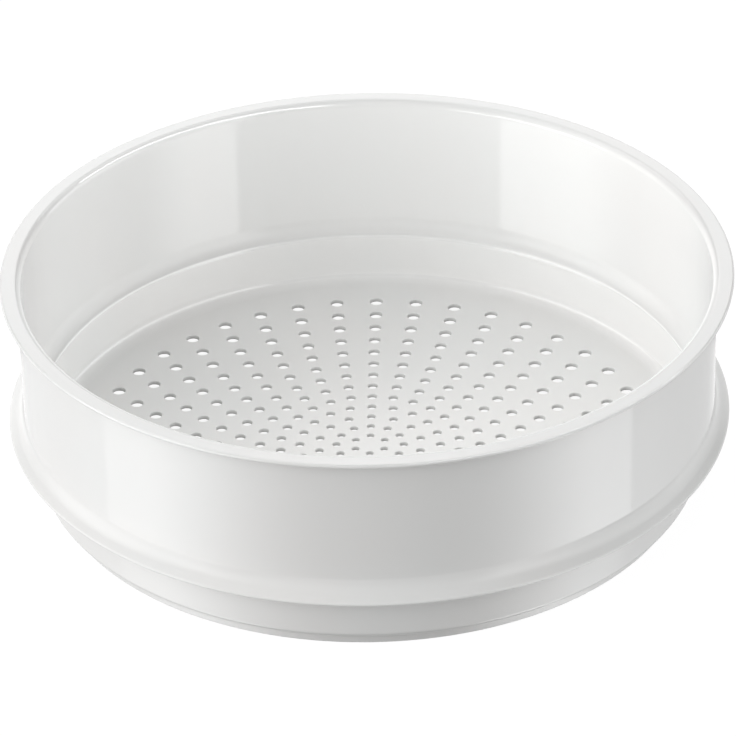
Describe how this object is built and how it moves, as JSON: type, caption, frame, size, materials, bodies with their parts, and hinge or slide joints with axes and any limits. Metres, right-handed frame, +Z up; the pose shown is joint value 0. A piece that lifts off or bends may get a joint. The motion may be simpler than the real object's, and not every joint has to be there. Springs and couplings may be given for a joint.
{
  "type": "steamer insert",
  "caption": "Round open steamer tier: flared rim, outside seat flange that hangs on a pot's rim, narrower bowl below and a flat floor perforated in rings for steaming food.",
  "frame": {"origin": "on the tier's axis, at the underside of the foot ring that it stands on", "axes": "+Z up along the tier's axis; +Y towards the row of holes that line up across all the rings"},
  "size_m": [0.2546, 0.2546, 0.08],
  "materials": {
    "white_enamel": "high gloss white"
  },
  "bodies": {
    "root": {"upper_wall": "white_enamel", "seat_flange": "white_enamel", "bowl_wall": "white_enamel", "perforated_floor": "white_enamel", "foot_ring": "white_enamel"}
  },
  "joints": []
}
